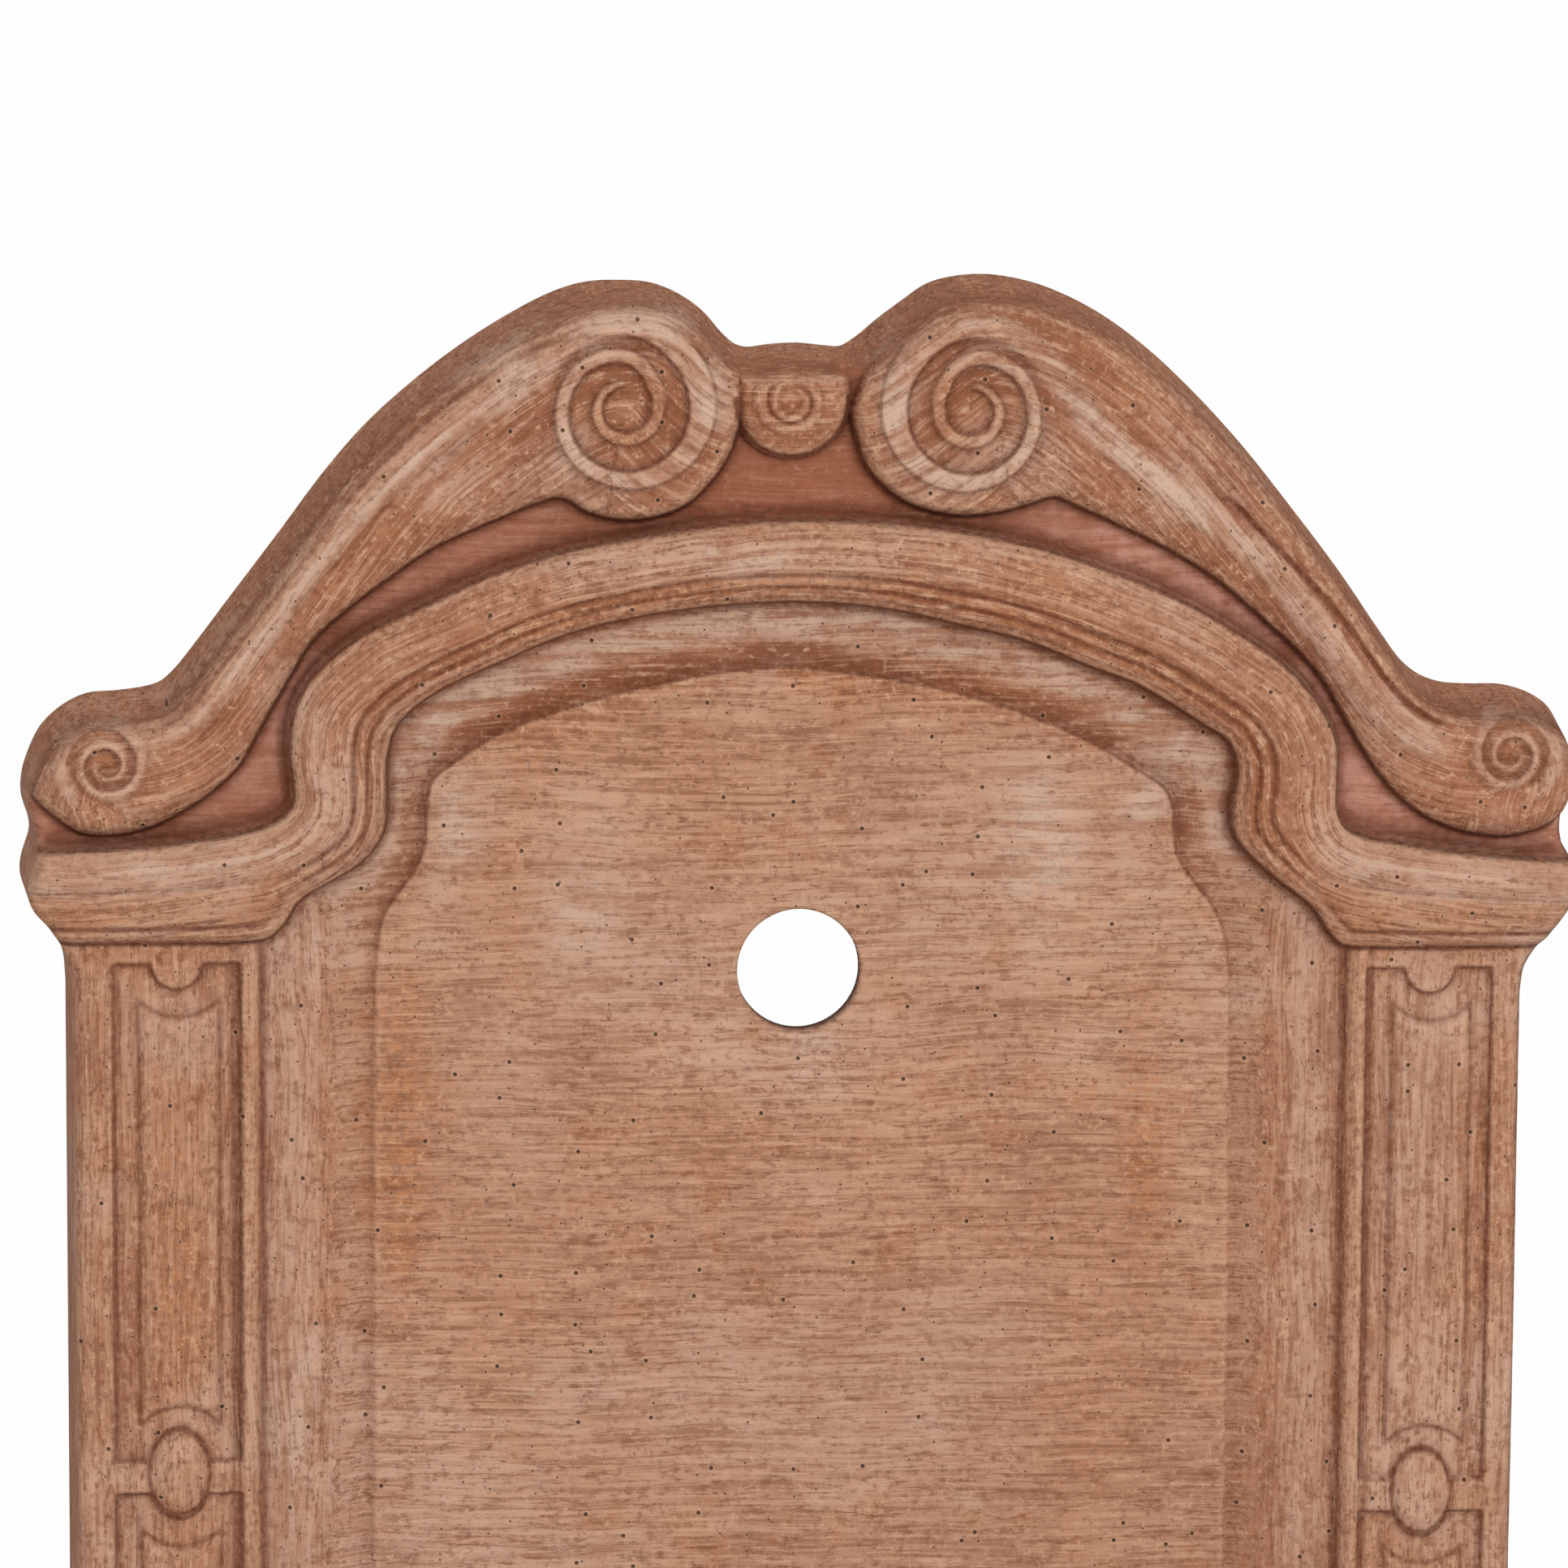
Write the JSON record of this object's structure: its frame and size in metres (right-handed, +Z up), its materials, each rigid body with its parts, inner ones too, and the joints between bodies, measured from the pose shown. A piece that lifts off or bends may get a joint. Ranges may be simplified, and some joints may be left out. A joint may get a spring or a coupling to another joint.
{
  "type": "garden wall fountain",
  "caption": "Terracotta wall fountain: scrolled and arched back panel with a tap hole, bow-fronted basin, hollow pedestal and lift-out overflow pipe.",
  "frame": {"origin": "on the ground, under the middle of the fountain's outer box", "axes": "+Z up, -Y to the front, +Y to the wall, +X to the right of someone who faces the fountain"},
  "size_m": [0.5, 0.33, 0.9779],
  "materials": {
    "terracotta": "matt fired clay, brushed with a thin pale wash",
    "rubber": "matt black",
    "stainless": "drawn stainless steel",
    "zinc": "zinc-plated pressed steel",
    "brass": "turned brass, slightly tarnished"
  },
  "bodies": {
    "fountain": {"back_panel": "terracotta", "basin": "terracotta", "pedestal": "terracotta", "basin_setting_pads": "rubber", "panel_setting_pads": "rubber", "locating_dowels": "stainless", "keyhole_plate_left": "zinc", "keyhole_plate_right": "zinc", "plate_screws_left": "stainless", "plate_screws_right": "stainless", "waste_flange": "brass", "waste_gasket_upper": "rubber", "waste_gasket_lower": "rubber", "waste_locknut": "brass"},
    "overflow": {"overflow_standpipe": "brass", "standpipe_bung": "rubber"}
  },
  "joints": [
    {"name": "overflow_lift", "type": "slide", "parent": "fountain", "child": "overflow", "axis": [0, 0, 1], "range_m": [0, 0.15]}
  ]
}
